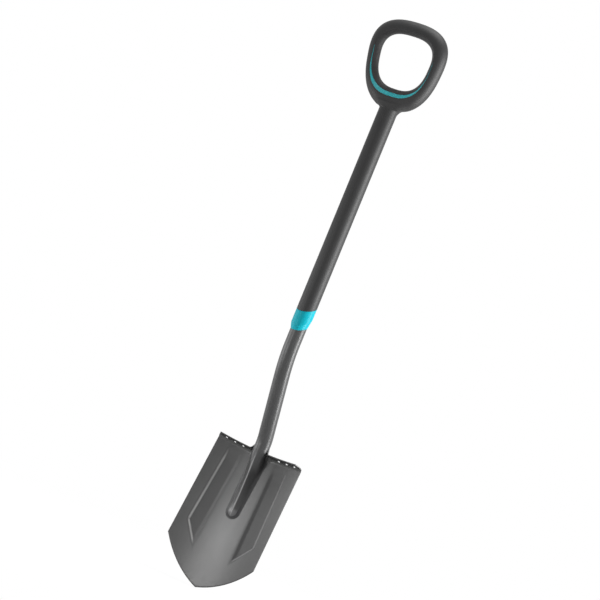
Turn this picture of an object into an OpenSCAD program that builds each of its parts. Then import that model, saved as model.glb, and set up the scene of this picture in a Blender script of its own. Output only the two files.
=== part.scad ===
// Transplanting spade: a pressed steel blade on a cranked steel tube, a plastic sleeve over the
// upper tube and a closed D-shaped handle. Millimetres. The blade's tip stands on z = 0, x runs
// across the blade, the front of the blade faces -y and z runs up along the straight shaft.

/* [Blade] */
// Length of the blade along its middle, from the tip to the fold of the treads
blade_l = 286; // [240:1:330]
// Width of the blade at the fold
blade_top_w = 190; // [150:1:220]
// Width of the blade at its lower corners
blade_low_w = 198; // [150:1:230]
// Height of the lower corners above the tip, along the blade
corner_h = 69; // [50:1:100]
// Radius of the two rounded edges that run from the corners to the tip
point_r = 200; // [150:1:400]
// How far the middle of the blade lies behind its lower corners
dish_depth = 13; // [6:0.5:18]
// How much further than the blade the dish's axis leans back, in degrees, which lifts the treads' ends
dish_tilt = 14; // [0:1:18]
// Thickness of the sheet
sheet_t = 1.6; // [1.2:0.1:2.5]
// Forward lean of the blade, in degrees from the shaft
blade_lean = 11.3; // [6:0.1:15]
// How far the tip lies behind the shaft's axis
tip_back = 9.6; // [0:0.1:20]

/* [Channels] */
// Depth of the two pressed channels
channel_depth = 2.4; // [1.8:0.1:4]
// Distance of a channel's inner edge from the middle, at the top
channel_inner_x = 34; // [28:1:40]
// Distance of a channel's outer edge from the middle, at the top
channel_outer_x = 69; // [60:1:74]
// Distance of a channel's outer corner from the middle, lower down
channel_corner_x = 78; // [68:1:84]
// Distance of a channel's pointed end from the middle
channel_end_x = 43; // [38:1:56]
// Distance of a channel's top below the fold
channel_top_drop = 16; // [14:1:40]
// Height of a channel's outer corner above the tip
channel_corner_h = 108; // [98:1:130]
// Height of a channel's pointed end above the tip
channel_end_h = 66; // [60:1:95]

/* [Treads] */
// Depth of a tread in front of the fold
tread_depth = 20; // [14:0.5:30]
// Upward tilt of the treads past square to the blade, in degrees
tread_tilt = 3; // [0:1:20]
// Inner radius of the fold
fold_r = 7; // [4:0.5:9]
// How much shorter a tread is along its front edge than along the fold
tread_end_cut = 8; // [2:0.5:14]
// Diameter of the holes along the fold
tread_hole_d = 5; // [4:0.1:8]
// Distance from one hole to the next
tread_hole_pitch = 18.5; // [14:0.5:22]
// Distance of the outer hole from the side of the blade
tread_hole_edge = 16.5; // [10:0.5:20]

/* [Shaft] */
// Outer diameter of the steel tube
tube_d = 30.4; // [26:0.2:34]
// Wall of the steel tube
tube_wall = 1.6; // [1.2:0.1:2.5]
// Height of the tube's lower bend above the fold of the treads
finger_rise = 3; // [0.5:0.5:10]
// Backward angle of the cranked length, in degrees
crank_angle = 17.8; // [14:0.1:20]
// Radius of the lower bend
lower_bend_r = 60; // [50:1:80]
// Radius of the upper bend
upper_bend_r = 220; // [120:5:260]
// Length of straight bare tube between the upper bend and the ferrule
bare_l = 28; // [15:1:60]
// Length of the tapering finger on the blade
finger_l = 128; // [90:1:150]
// Width of the finger at its end
finger_end_w = 22; // [16:0.5:26]
// Height of the finger above the blade at its end
finger_end_h = 9; // [6:0.5:16]
// Leg of the weld bead round the finger
weld_leg = 4.5; // [3:0.5:7]

/* [Sleeve and ferrule] */
// Outer diameter of the sleeve
sleeve_d = 37.4; // [35:0.2:42]
// Length of the sleeve, along its axis
sleeve_l = 405; // [320:1:480]
// Height of the ferrule, along its axis
ferrule_h = 40; // [34:1:60]
// Height of the ferrule's straight length, below its upper rim
ferrule_straight_h = 21; // [16:1:26]
// Height of the ferrule's tapered length
taper_h = 27; // [20:1:30]
// Lip of the ferrule over the tube at its thin end
ferrule_lip = 0.5; // [0.3:0.1:1]
// Slant of the two rims, in degrees
rim_slant = 19.5; // [0:0.5:24]
// Turn of the rims' rise, in degrees from the back towards +x
rim_turn = 31.6; // [0:0.1:45]

/* [Handle] */
// Forward lean of the handle, in degrees from the shaft
handle_lean = 10.8; // [0:0.1:15]
// Width of the handle outside, at half its height
handle_w = 158; // [140:1:180]
// Height of the handle outside
handle_h = 174; // [160:1:200]
// Width of the hand opening, at half its height
opening_w = 108; // [95:1:114]
// Height of the hand opening
opening_h = 105; // [95:1:112]
// Height of the opening's lower end above the handle's lower end
web_h = 41; // [36:1:48]
// Depth of the handle's bars, front to back
grip_depth = 30; // [26:0.5:36]
// Extra depth of the handle at the neck
web_extra_depth = 4; // [0:0.5:6]
// Thickness of the liner of the hand opening, at the middle of its depth
liner_t = 8.6; // [6:0.1:10]
// Width of the inlay at the bottom of the opening
inlay_w = 7.4; // [4:0.1:9]
// Length of the neck between the sleeve and the D
neck_l = 12; // [8:0.5:20]
// Length of the spigot in the tube
spigot_l = 70; // [40:1:100]
// Diameter of the cross pin
pin_d = 5; // [4:0.1:6]

/* [Hidden] */
$fn = 96;
// Clearance between pieces that slide together
fit_gap = 0.15;
// Clearance between pieces that butt or lie on each other
joint_gap = 0.1;
// Overrun of every cut
over = 1;

// Blade
low_half = blade_low_w / 2;
top_half = blade_top_w / 2;
fold_out_r = fold_r + sheet_t;
fold_turn = 90 - tread_tilt;
fold_steps = 8;
fold_start_h = blade_l - fold_out_r;
// The dish is part of a cone; its radius at the lower corners and at the fold
low_dish_r = (low_half * low_half + dish_depth * dish_depth) / (2 * dish_depth);
dish_r = low_dish_r - (fold_start_h - corner_h) * sin(dish_tilt);
dish_half_angle = asin(max(low_half, top_half) / dish_r);
spread_share = 1.1;
tread_hole_share = 0.75;
tip_rise = sheet_t * sin(blade_lean);
// The rounded edge from a lower corner to the tip is an arc about this centre
point_chord = norm([low_half, corner_h]);
point_apothem = sqrt(point_r * point_r - point_chord * point_chord / 4);
point_centre = [low_half, corner_h] / 2 + [-corner_h, low_half] / point_chord * point_apothem;
corner_turn = atan2(corner_h - point_centre.y, low_half - point_centre.x);
tip_turn = atan2(-point_centre.y, -point_centre.x);
edge_steps = 24;

// Tube
tube_r = tube_d / 2;
bore_r = tube_r - tube_wall;
// Distance of the tube's axis from the blade's face
seat_gap = 0.3;
seat = tube_r + seat_gap;
lower_turn = crank_angle + blade_lean;
upper_tangent = upper_bend_r * tan(crank_angle / 2);
lower_tangent = lower_bend_r * tan(lower_turn / 2);
// The point where the crank's axis meets the finger's: along the blade, then in y and z
crank_foot = blade_l + finger_rise + lower_tangent;
crank_back = tip_back + crank_foot * sin(blade_lean) - seat * cos(blade_lean);
crank_foot_z = tip_rise + crank_foot * cos(blade_lean) + seat * sin(blade_lean);
crank_z = crank_foot_z + crank_back / tan(crank_angle);
crank_l = crank_back / sin(crank_angle) - upper_tangent - lower_tangent;
straight_z = crank_z + upper_tangent;
// The bends lap over the straight lengths that they join, by this many degrees
bend_lap = 0.3;
bend_swell = 0.02;
finger_inset_share = 0.25;
finger_top_r = tube_r - tube_wall * finger_inset_share;
finger_steps = 8;
finger_sides = 24;
nose_steps = 5;
nose_turn = 80;
// The finger is round above the first share of its length and pressed to a half round below the second
press_start_share = 0.125;
press_end_share = 0.375;
// Slight roundness of the half round's underside
belly_share = 0.02;
weld_first = 1;
weld_sides = 5;
weld_arc_steps = 20;
// Where the bead leaves the finger's side, in degrees above its base
weld_top_angle = 30;
cradle_r = tube_r + joint_gap;
// The room for the tube ends inside the cradle's wall, and is a little narrower along the bend
room_r = cradle_r + sheet_t / 2;
bend_room_r = cradle_r + sheet_t / 4;
room_foot = finger_rise + fold_out_r + sheet_t;
cradle_foot = finger_rise + fold_out_r / 2;

// Sleeve and handle
ferrule_low_z = straight_z + bare_l;
ferrule_top_z = ferrule_low_z + ferrule_h;
taper_z = ferrule_top_z - ferrule_straight_h;
tube_top_z = ferrule_top_z + sleeve_l;
neck_z = tube_top_z + joint_gap + neck_l;
straight_l = tube_top_z - straight_z;
sleeve_r = sleeve_d / 2;
sleeve_bore_r = tube_r + fit_gap;
spigot_r = bore_r - fit_gap;
pin_r = pin_d / 2;
pin_z = tube_top_z - spigot_l / 2;
loop_steps = 56;
outer_corner_power = 2.6;
inner_corner_power = 2.7;
outer_taper_share = 0.166;
inner_taper_share = 0.114;
// The neck tapers into the D from just inside its own end
neck_top_share = 0.6;
neck_step = 0.4;
neck_rise_share = 0.6;
// The bars' section is a circle cut by a chord at the opening's wall
section_half_turn = 105;
section_steps = 14;
section_least_share = cos(section_half_turn);
// The liner's inner side bulges: its front and back edges lie further out by this share of its thickness
liner_bulge_share = 0.88;
barrel_steps = 6;
// The inlay runs from the bottom of the opening up both arms to this many degrees above its widest level
inlay_top_turn = 10;
inlay_fade_power = 3.2;
inlay_steps = 48;

// Bounds in y, which put the origin under the middle of the whole part
grip_low_h = web_h + opening_h + liner_t + joint_gap;
grip_round = (handle_h - grip_low_h) / (1 - section_least_share);
front_reach = (handle_h - grip_round) * sin(handle_lean)
    + norm([grip_round * sin(handle_lean), grip_depth / 2 * cos(handle_lean)]);
back_reach = crank_back + room_r;
shaft_y = (front_reach - back_reach) / 2;

// Shapes that more than one piece uses

function signed_power(value, power) = sign(value) * pow(abs(value), power);

// A rounded loop of half width w and half height h about the height mid, wider towards its top
function loop_point(turn, w, h, mid, power, taper_share) =
    let(s = signed_power(sin(turn), 2 / power), c = signed_power(cos(turn), 2 / power))
    [w * (1 + taper_share * s) * c, mid + h * s];

function outer_point(turn) =
    loop_point(turn, handle_w / 2, handle_h / 2, handle_h / 2, outer_corner_power, outer_taper_share);

// The hand opening's loop, grown outwards
function opening_point(turn, grow) =
    loop_point(turn, opening_w / 2 + grow, opening_h / 2 + grow, web_h + opening_h / 2,
        inner_corner_power, inner_taper_share);

// Width of the inlay: full at the bottom of the opening, fading up both arms
function inlay_t(turn) = inlay_w * pow((1 - sin(turn)) / 2, inlay_fade_power);

function frame_front(turn) = opening_point(turn, liner_t + joint_gap + inlay_t(turn));

// Half depth of the bars, more at the neck, and of the walls of frame and liner at the opening
function bar_half(turn) = grip_depth / 2 + web_extra_depth / 2 * pow(max(0, -sin(turn)), 2);
function wall_half(turn) = bar_half(turn) * sin(section_half_turn);
function liner_half(turn) = wall_half(turn) - inlay_t(turn);

// A skin through like sections, closed round each one, and closed along the row or capped at its ends
module loft(sections, closed) {
    rows = len(sections);
    sides = len(sections[0]);
    spans = closed ? rows : rows - 1;
    points = [for (section = sections) each section];
    walls = [for (i = [0:spans - 1], j = [0:sides - 1])
        let(a = i * sides + j, b = i * sides + (j + 1) % sides,
            c = ((i + 1) % rows) * sides + (j + 1) % sides, d = ((i + 1) % rows) * sides + j)
        each [[a, b, c], [a, c, d]]];
    low_cap = closed ? [] : [[for (j = [sides - 1:-1:0]) j]];
    high_cap = closed ? [] : [[for (j = [0:sides - 1]) (rows - 1) * sides + j]];
    polyhedron(points, concat(walls, low_cap, high_cap));
}

// Puts its children into the blade's own frame: tip at the origin, z up along the blade
module on_blade() {
    translate([0, shaft_y + tip_back, tip_rise]) rotate([-blade_lean, 0, 0]) children();
}

// Draws its child on both sides of the middle
module both_sides() {
    children();
    mirror([1, 0, 0]) children();
}

// The dish's own frame at the fold, in which its axis stands upright
module at_fold() {
    translate([0, 0, fold_start_h]) rotate([-dish_tilt, 0, 0]) children();
}

// Turns a profile of radius and height about the dish's axis, over the whole width of the blade
module dished() {
    spread = 2 * spread_share * dish_half_angle;
    at_fold() translate([0, -dish_r, 0]) rotate([0, 0, 90 - spread / 2]) rotate_extrude(angle = spread)
        translate([dish_r, 0]) rotate(dish_tilt) translate([-dish_r, -fold_start_h]) children();
}

// A straight prism through the blade, from an outline in x and z
module through_blade() {
    depth = tread_depth + dish_depth + tube_d;
    rotate([90, 0, 0]) translate([0, 0, -depth]) linear_extrude(2 * depth) children();
}

// Blade

function fold_point(radius, turn) =
    [dish_r - fold_r + radius * cos(turn), fold_start_h + radius * sin(turn)];

// The sheet seen from its end: up the blade, round the fold and out along the tread
module fold_profile() {
    run = (tread_depth - fold_r) * [-sin(fold_turn), cos(fold_turn)];
    inner = [for (i = [0:fold_steps]) fold_point(fold_r, fold_turn * i / fold_steps)];
    outer = [for (i = [fold_steps:-1:0]) fold_point(fold_out_r, fold_turn * i / fold_steps)];
    polygon(concat([[dish_r, -over]], inner, [inner[fold_steps] + run, outer[0] + run], outer,
        [[dish_r + sheet_t, -over]]));
}

module blade_outline() {
    right = concat([[top_half, blade_l + tread_depth], [top_half, blade_l]],
        [for (i = [0:edge_steps])
            let(turn = corner_turn + (tip_turn - corner_turn) * i / edge_steps)
            point_centre + point_r * [cos(turn), sin(turn)]]);
    left = [for (i = [len(right) - 2:-1:0]) [-right[i].x, right[i].y]];
    polygon(concat(right, left));
}

module channel_outline(grow) {
    top = blade_l - channel_top_drop + grow;
    polygon([[channel_inner_x - grow, top], [channel_outer_x + grow, top],
        [channel_corner_x + grow, channel_corner_h], [channel_end_x - grow / 2, channel_end_h - 2 * grow]]);
}

// One channel's block, between two depths behind the blade's face
module channel_block(near, far, grow) {
    intersection() {
        dished() translate([dish_r + near, 0]) square([far - near, blade_l]);
        through_blade() channel_outline(grow);
    }
}

module tread_end_cut_block() {
    front = -dish_depth - tread_depth;
    far_front = front - tread_depth;
    front_x = top_half - tread_end_cut;
    side = top_half + tread_depth;
    translate([0, 0, fold_start_h]) linear_extrude(tread_depth + fold_out_r)
        polygon([[top_half, dish_depth], [top_half, -dish_depth], [front_x, front], [front_x, far_front],
            [side, far_front], [side, dish_depth]]);
}

// Three holes through the fold of one tread
module tread_holes() {
    rise = fold_turn * tread_hole_share + dish_tilt;
    centre_r = dish_r - fold_r * cos(dish_tilt);
    for (i = [0:2]) {
        x = top_half - tread_hole_edge - i * tread_hole_pitch;
        at_fold() translate([x, sqrt(centre_r * centre_r - x * x) - dish_r, -fold_r * sin(dish_tilt)])
            rotate([rise - 90, 0, 0]) cylinder(h = 2 * fold_out_r, d = tread_hole_d);
    }
}

module blade() {
    color("#6b6b6c") union() {
        difference() {
            on_blade() difference() {
                intersection() {
                    union() {
                        dished() fold_profile();
                        both_sides() channel_block(sheet_t / 2, channel_depth + sheet_t, sheet_t);
                    }
                    through_blade() blade_outline();
                }
                both_sides() channel_block(-over, channel_depth, 0);
                both_sides() tread_end_cut_block();
                both_sides() tread_holes();
            }
            tube_room();
        }
        cradle();
    }
}

// The half of a ring that lies behind the tube, seen along the tube
module half_ring(swell) {
    intersection() {
        tube_ring(cradle_r + sheet_t + swell, cradle_r - swell);
        translate([-swell, -tube_d]) square([tube_d, 2 * tube_d]);
    }
}

// The trough that the sheet forms behind the tube, along its lower bend
module cradle() {
    along_crank() translate([0, 0, -crank_l]) bend(lower_bend_r, lower_turn, -1) half_ring(bend_swell);
    along_finger() translate([0, 0, -cradle_foot]) linear_extrude(cradle_foot) rotate(90) half_ring(0);
}

// The space that the tube needs between the treads
module tube_room() {
    along_crank() translate([0, 0, -crank_l]) bend(lower_bend_r, lower_turn, -1) circle(bend_room_r);
    along_finger() translate([0, 0, -room_foot]) cylinder(h = room_foot + fold_out_r, r = room_r);
}

// Shaft tube

// One bend of a round bar that comes down along z and turns towards +y or -y
module bend(radius, angle, side) {
    mirror([0, side > 0 ? 0 : 1, 0]) translate([0, radius, 0])
        multmatrix([[0, 0, 1, 0], [-1, 0, 0, 0], [0, -1, 0, 0], [0, 0, 0, 1]])
            rotate([0, 0, -bend_lap]) rotate_extrude(angle = angle + 2 * bend_lap)
                translate([radius, 0]) children();
}

module after_bend(radius, angle, side) {
    translate([0, side * radius, 0]) rotate([side * angle, 0, 0]) translate([0, -side * radius, 0]) children();
}

// The frame at the top of the cranked length, z pointing back up along it
module along_crank() {
    translate([0, shaft_y, straight_z]) after_bend(upper_bend_r, crank_angle, 1) children();
}

// The frame at the lower end of the bends, z pointing back up along the blade
module along_finger() {
    along_crank() translate([0, 0, -crank_l]) after_bend(lower_bend_r, lower_turn, -1) children();
}

// A ring, seen along the tube
module tube_ring(outer_r, inner_r) {
    difference() {
        circle(outer_r);
        circle(inner_r);
    }
}

// The bent run of the tube, down to the finger
module tube_run() {
    translate([0, shaft_y, straight_z]) {
        linear_extrude(straight_l) tube_ring(tube_r, bore_r);
        bend(upper_bend_r, crank_angle, 1) tube_ring(tube_r + bend_swell, bore_r - bend_swell);
    }
    along_crank() translate([0, 0, -crank_l]) {
        linear_extrude(crank_l) tube_ring(tube_r, bore_r);
        bend(lower_bend_r, lower_turn, -1) tube_ring(tube_r + bend_swell, bore_r - bend_swell);
    }
}

// Half width and height of the finger at a share of its length
function finger_half_w(along_share) = finger_top_r + (finger_end_w / 2 - finger_top_r) * along_share;
function finger_h(along_share) = 2 * finger_top_r + (finger_end_h - 2 * finger_top_r) * along_share;

// A point on the finger's section: round at the tube, pressed to a half round lower down
function finger_point(along_share, turn, size_share) =
    let(press_share = (along_share - press_start_share) / (press_end_share - press_start_share),
        pressed = max(0, min(1, press_share)),
        round_share = (1 + sin(turn)) / 2,
        half_round_share = sin(turn) * (sin(turn) > 0 ? 1 : belly_share),
        height_share = round_share + (half_round_share - round_share) * pressed)
    [size_share * finger_half_w(along_share) * cos(turn),
        finger_top_r - size_share * finger_h(along_share) * height_share];

function finger_ring(along_share, size_share, z) =
    [for (j = [0:finger_sides - 1])
        let(p = finger_point(along_share, -360 * j / finger_sides, size_share)) [p.x, p.y, z]];

// The finger narrows from the round tube to a low half round on the blade, and ends in a rounded nose
module finger() {
    body = [for (i = [0:finger_steps]) finger_ring(i / finger_steps, 1, -finger_l * i / finger_steps)];
    nose = [for (i = [1:nose_steps])
        let(turn = nose_turn * i / nose_steps)
        finger_ring(1, cos(turn), -finger_l - finger_end_w / 2 * sin(turn))];
    loft(concat(body, nose), false);
}

module shaft_tube() {
    color("#707072") difference() {
        union() {
            tube_run();
            along_finger() finger();
        }
        pin_hole();
    }
}

// Weld

// The blade's face in front of which the finger lies
function face_y(x) = seat - dish_r + sqrt(dish_r * dish_r - x * x);

// One cut through the bead: up the finger's side, then down to the toe on the blade's face
function weld_section(along_share, turn, z) =
    let(toe = finger_half_w(along_share) + weld_leg,
        side = [for (j = [0:weld_sides])
            finger_point(along_share, weld_top_angle * j / weld_sides, 1) + [joint_gap, 0]])
    [for (p = concat(side, [[toe, face_y(toe * cos(turn))]]))
        [p.x * cos(turn), p.y, z - p.x * sin(turn)]];

module socket_weld() {
    shares = [for (i = [weld_first:finger_steps]) i / finger_steps];
    right = [for (share = shares) weld_section(share, 0, -finger_l * share)];
    end = [for (i = [1:weld_arc_steps - 1]) weld_section(1, 180 * i / weld_arc_steps, -finger_l)];
    left = [for (i = [len(right) - 1:-1:0]) [for (p = right[i]) [-p.x, p.y, p.z]]];
    color("#5c5c5e") along_finger() loft(concat(right, end, left), false);
}

// Ferrule and sleeve

// All that lies above a rim: a slanted plane through the shaft's axis
module above_rim(z) {
    side = 2 * neck_z;
    translate([0, shaft_y, z]) rotate([0, 0, -rim_turn]) rotate([rim_slant, 0, 0])
        translate([-side / 2, -side / 2, 0]) cube([side, side, neck_z]);
}

module ferrule() {
    low_z = taper_z - taper_h;
    color("#0fb4c4") difference() {
        intersection() {
            translate([0, shaft_y, 0]) union() {
                translate([0, 0, taper_z]) cylinder(h = ferrule_top_z + sleeve_d - taper_z, r = sleeve_r);
                translate([0, 0, low_z]) cylinder(h = taper_h, r1 = tube_r + ferrule_lip, r2 = sleeve_r);
                translate([0, 0, low_z - sleeve_d]) cylinder(h = sleeve_d, r = tube_r + ferrule_lip);
            }
            above_rim(ferrule_low_z);
        }
        above_rim(ferrule_top_z - joint_gap);
        translate([0, shaft_y, low_z - sleeve_d - over])
            cylinder(h = neck_z, r = sleeve_bore_r);
    }
}

module shaft_sleeve() {
    start_z = ferrule_top_z - sleeve_d;
    color("#3b3b3d") intersection() {
        translate([0, shaft_y, start_z]) difference() {
            cylinder(h = tube_top_z - start_z, r = sleeve_r);
            translate([0, 0, -over]) cylinder(h = tube_top_z - start_z + 2 * over, r = sleeve_bore_r);
        }
        above_rim(ferrule_top_z);
    }
}

// Handle

module in_handle() {
    translate([0, shaft_y, neck_z]) rotate([handle_lean, 0, 0]) children();
}

module pin_hole() {
    translate([-tube_d, shaft_y, pin_z]) rotate([0, 90, 0]) cylinder(h = 2 * tube_d, r = pin_r);
}

function bar_section(turn) =
    let(near = frame_front(turn), far = outer_point(turn))
    [for (j = [0:section_steps])
        let(around = section_half_turn * (1 - 2 * j / section_steps),
            q_share = (cos(around) - section_least_share) / (1 - section_least_share),
            p = near + (far - near) * q_share)
        [p.x, bar_half(turn) * sin(around), p.y]];

module handle_frame() {
    color("#3b3b3d") difference() {
        union() {
            in_handle() {
                loft([for (i = [0:loop_steps - 1]) bar_section(360 * i / loop_steps)], true);
                translate([0, 0, -neck_l / 2])
                    cylinder(h = web_h * neck_rise_share, r1 = sleeve_r - neck_step, r2 = sleeve_r * neck_top_share);
            }
            translate([0, shaft_y, neck_z - neck_l]) cylinder(h = neck_l + over, r = sleeve_r);
            translate([0, shaft_y, tube_top_z - spigot_l]) cylinder(h = spigot_l + neck_l, r = spigot_r);
        }
        pin_hole();
    }
}

module handle_liner() {
    color("#454446") in_handle() loft([for (i = [0:loop_steps - 1])
        let(turn = 360 * i / loop_steps, far = opening_point(turn, liner_t), half = liner_half(turn),
            inside = [for (j = [0:barrel_steps])
                let(depth_share = 2 * j / barrel_steps - 1,
                    p = opening_point(turn, liner_t * liner_bulge_share * depth_share * depth_share))
                [p.x, half * depth_share, p.y]])
        concat([[far.x, -half, far.y]], inside, [[far.x, half, far.y]])], true);
}

module handle_inlay() {
    turns = [for (i = [0:inlay_steps])
        180 - inlay_top_turn + (180 + 2 * inlay_top_turn) * i / inlay_steps];
    color("#17a3b2") in_handle() loft([for (turn = turns)
        let(near = opening_point(turn, liner_t + joint_gap), far = opening_point(turn, liner_t + inlay_t(turn)))
        [[far.x, -wall_half(turn), far.y], [near.x, -liner_half(turn), near.y],
            [near.x, liner_half(turn), near.y], [far.x, wall_half(turn), far.y]]], false);
}

module handle_pin() {
    length = tube_d - 2 * fit_gap;
    color("#9a9a9c") translate([-length / 2, shaft_y, pin_z]) rotate([0, 90, 0])
        cylinder(h = length, r = pin_r - fit_gap / 2);
}

blade();
shaft_tube();
socket_weld();
ferrule();
shaft_sleeve();
handle_frame();
handle_liner();
handle_inlay();
handle_pin();
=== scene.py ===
"""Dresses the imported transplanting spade: fine surfaces, materials, floor, light and camera.

Sizes are in millimetres, angles in radians unless their name says otherwise, and meshes in metres.
"""

import math

import bmesh
import bpy
import numpy as np
from mathutils import Matrix, Vector


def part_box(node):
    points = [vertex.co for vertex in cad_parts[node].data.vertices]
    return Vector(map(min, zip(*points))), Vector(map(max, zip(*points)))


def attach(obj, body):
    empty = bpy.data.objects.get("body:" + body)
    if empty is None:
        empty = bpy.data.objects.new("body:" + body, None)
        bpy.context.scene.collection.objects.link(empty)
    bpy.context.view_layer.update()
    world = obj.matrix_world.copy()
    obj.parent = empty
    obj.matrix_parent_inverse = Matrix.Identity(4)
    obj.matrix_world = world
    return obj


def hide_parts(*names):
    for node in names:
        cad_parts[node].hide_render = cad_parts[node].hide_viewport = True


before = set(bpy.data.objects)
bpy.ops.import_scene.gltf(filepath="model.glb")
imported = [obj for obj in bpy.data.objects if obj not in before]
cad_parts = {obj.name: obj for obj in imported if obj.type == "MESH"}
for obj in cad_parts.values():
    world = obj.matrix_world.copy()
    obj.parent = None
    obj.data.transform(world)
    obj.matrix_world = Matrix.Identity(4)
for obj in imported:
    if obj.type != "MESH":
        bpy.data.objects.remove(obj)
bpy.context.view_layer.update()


# Blade
# A sheet of steel pressed to a shallow dish, with two channels and a rounded point. Its top is folded
# forward to two treads with three holes each and, between them, turned up round the back of the tube.
# A dark satin coat covers it, dull and with painted shade in the channels, and with a painted highlight
# along their outer walls.

MM = 0.001
sleeve_low, sleeve_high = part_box("shaft_sleeve")
shaft_y = (sleeve_low.y + sleeve_high.y) / 2 / MM
blade_lean = math.radians(11.3)
tip_back = 9.6
sheet_t = 1.6
tip_rise = sheet_t * math.sin(blade_lean)
low_half_w, fold_half_w = 99.0, 95.0
corner_h, blade_l = 69.0, 286.0
# The rounded edge from the right corner to the tip: its radius, and its centre across and up
point_r, point_x, point_h = 200.0, -59.53, 190.94
fold_r, fold_turn = 7.0, math.radians(87)
fold_start = blade_l - fold_r - sheet_t
fold_l = fold_r * fold_turn
dish_depth, dish_tilt = 13.0, math.radians(14)
low_dish_r = (low_half_w ** 2 + dish_depth ** 2) / (2 * dish_depth)
dish_r = low_dish_r - (fold_start - corner_h) * math.sin(dish_tilt)
tread_l, tread_end_cut = 13.0, 8.0
sheet_top = fold_start + fold_l + tread_l
channel_depth = 2.8
# Corners of a channel, outwards and up, each with the width of the wall that follows it
channel_corners = [(69, 272, 30.0), (34, 272, 9.0), (43, 66, 5.2), (78, 110, 5.6)]
# How much of the left walls' painted highlight the right ones have, and how soon the channels turn dull
# and darker with painted shade
right_highlight_share, dull_and_shade_power = 0.45, 0.6
# The holes' places across, their radius, and their place along the fold's arc
hole_xs, hole_r, hole_share = (41.5, 60.0, 78.5), 2.5, 0.75
hole_s = fold_start + hole_share * fold_l
# The slope along the digging edge
edge_slope_w, edge_slope_depth = 2.5, 1.0
# The tube's radius, its axis in front of the blade's face, and its bend above the fold
tube_r, seat, finger_rise = 15.2, 15.5, 3.0
bend_foot, lower_bend_r = blade_l + finger_rise, 60.0
# The half ring behind the tube: its radius below and at the top, its fillet, where it starts and is full
collar_r, collar_top_r, collar_fillet = 15.5, 13.4, 7.0
collar_start, collar_full = fold_start - 8.0, fold_start + 6.0


def smooth(low, high, value):
    """0 below low, 1 above high, and between them the cubic that is level at both ends."""
    share = np.clip((value - low) / (high - low), 0, 1)
    return share * share * (3 - 2 * share)


def half_width(s):
    """Half the sheet's width at height s: the point's arc, the straight side, the tread's slanted end."""
    arc = point_x + np.sqrt(point_r ** 2 - (np.minimum(s, corner_h) - point_h) ** 2)
    side = low_half_w + (fold_half_w - low_half_w) * (s - corner_h) / (blade_l - corner_h)
    past_fold = np.clip((s - fold_start - fold_l / 2) / (tread_l + fold_l / 2), 0, 1)
    tread = fold_half_w - tread_end_cut * past_fold
    return np.where(s < corner_h, arc, np.where(s < fold_start, side, tread))


def channel(x, s):
    """Share of the channels' depth: full inside, and over a wall's width going to nothing at the outline.

    The second result is the dull share, which starts half a wall's width further out; the coat also uses it
    for painted shade in the channels. The third is 1 half way down the steep walls, which are the outer one
    and the one at the lower end, and the coat paints a highlight there.
    """
    falls, dull_and_shade_falls = [], []
    for (x0, s0, wall), (x1, s1, _) in zip(channel_corners, channel_corners[1:] + channel_corners[:1]):
        inside = ((x1 - x0) * (s - s0) - (s1 - s0) * (np.abs(x) - x0)) / math.hypot(x1 - x0, s1 - s0)
        falls.append(smooth(0, wall, inside))
        dull_and_shade_falls.append(smooth(-wall / 2, wall / 2, inside))
    share = np.prod(falls, axis=0)
    return share, np.prod(dull_and_shade_falls, axis=0), 4 * share * (1 - np.minimum(falls[2], falls[3]))


def to_spade(x, y, t):
    """From the blade's own frame, with y behind its face and t up along it, to the spade's frame."""
    cos, sin = math.cos(blade_lean), math.sin(blade_lean)
    return np.stack([x, shaft_y + tip_back + y * cos + t * sin, tip_rise - y * sin + t * cos], axis=-1)


def blade_face(x, s):
    """The front of the sheet at x across and s up its middle, measured along the sheet.

    The dish is a cone, whose axis leans further back than the blade, so the ends of the fold stand higher.
    Past the fold the sheet runs forward by the fold's arc and then by the tread's run. Near the middle it
    goes over into a half ring behind the tube's axis, which turns with the tube's lower bend.
    """
    turn = np.clip((s - fold_start) / fold_r, 0, fold_turn)
    run = np.clip(s - fold_start - fold_l, 0, None)
    forward = fold_r * (1 - np.cos(turn)) + run * math.sin(fold_turn)
    rise = np.minimum(s - fold_start, 0) + fold_r * np.sin(turn) + run * math.cos(fold_turn)
    tilt_cos, tilt_sin = math.cos(dish_tilt), math.sin(dish_tilt)
    radius = dish_r - forward * tilt_cos - rise * tilt_sin
    inward = np.sqrt(radius ** 2 - x * x) - radius
    y = inward * tilt_cos - forward
    t = fold_start + rise - inward * tilt_sin
    from_point = point_r - np.hypot(np.abs(x) - point_x, s - point_h)
    lower_edge = np.where(s < corner_h, np.clip(1 - from_point / edge_slope_w, 0, 1), 0)
    y = y + channel_depth * channel(x, s)[0] + edge_slope_depth * lower_edge ** 2
    around = np.minimum(np.abs(x) / collar_r, 1) * math.pi / 2
    lean = np.clip(s - bend_foot, 0, None) / lower_bend_r
    axis_y = -seat - lower_bend_r * (1 - np.cos(lean))
    axis_t = np.minimum(s, bend_foot) + lower_bend_r * np.sin(lean)
    ring_r = collar_r + (collar_top_r - collar_r) * smooth(fold_start + fold_l, sheet_top, s)
    ring_x = np.sign(x) * ring_r * np.sin(around)
    ring_y = axis_y + ring_r * np.cos(around) * np.cos(lean)
    ring_t = axis_t + ring_r * np.cos(around) * np.sin(lean)
    ring = (1 - np.clip((np.abs(x) - collar_r) / collar_fillet, 0, 1)) ** 3
    ring = ring * smooth(collar_start, collar_full, s)
    return to_spade(x + (ring_x - x) * ring, y + (ring_y - y) * ring, t + (ring_t - t) * ring)


def quads_of(rows, cols, wrap_rows=False, wrap_cols=False):
    """The quads of a grid of points, as four indices each, joined end to end where the grid closes."""
    i, j = np.meshgrid(np.arange(rows - 1 + wrap_rows), np.arange(cols - 1 + wrap_cols), indexing="ij")
    i, j = i.ravel(), j.ravel()
    i2, j2 = (i + 1) % rows, (j + 1) % cols
    return np.stack([i * cols + j, i * cols + j2, i2 * cols + j2, i2 * cols + j], axis=1)


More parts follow.
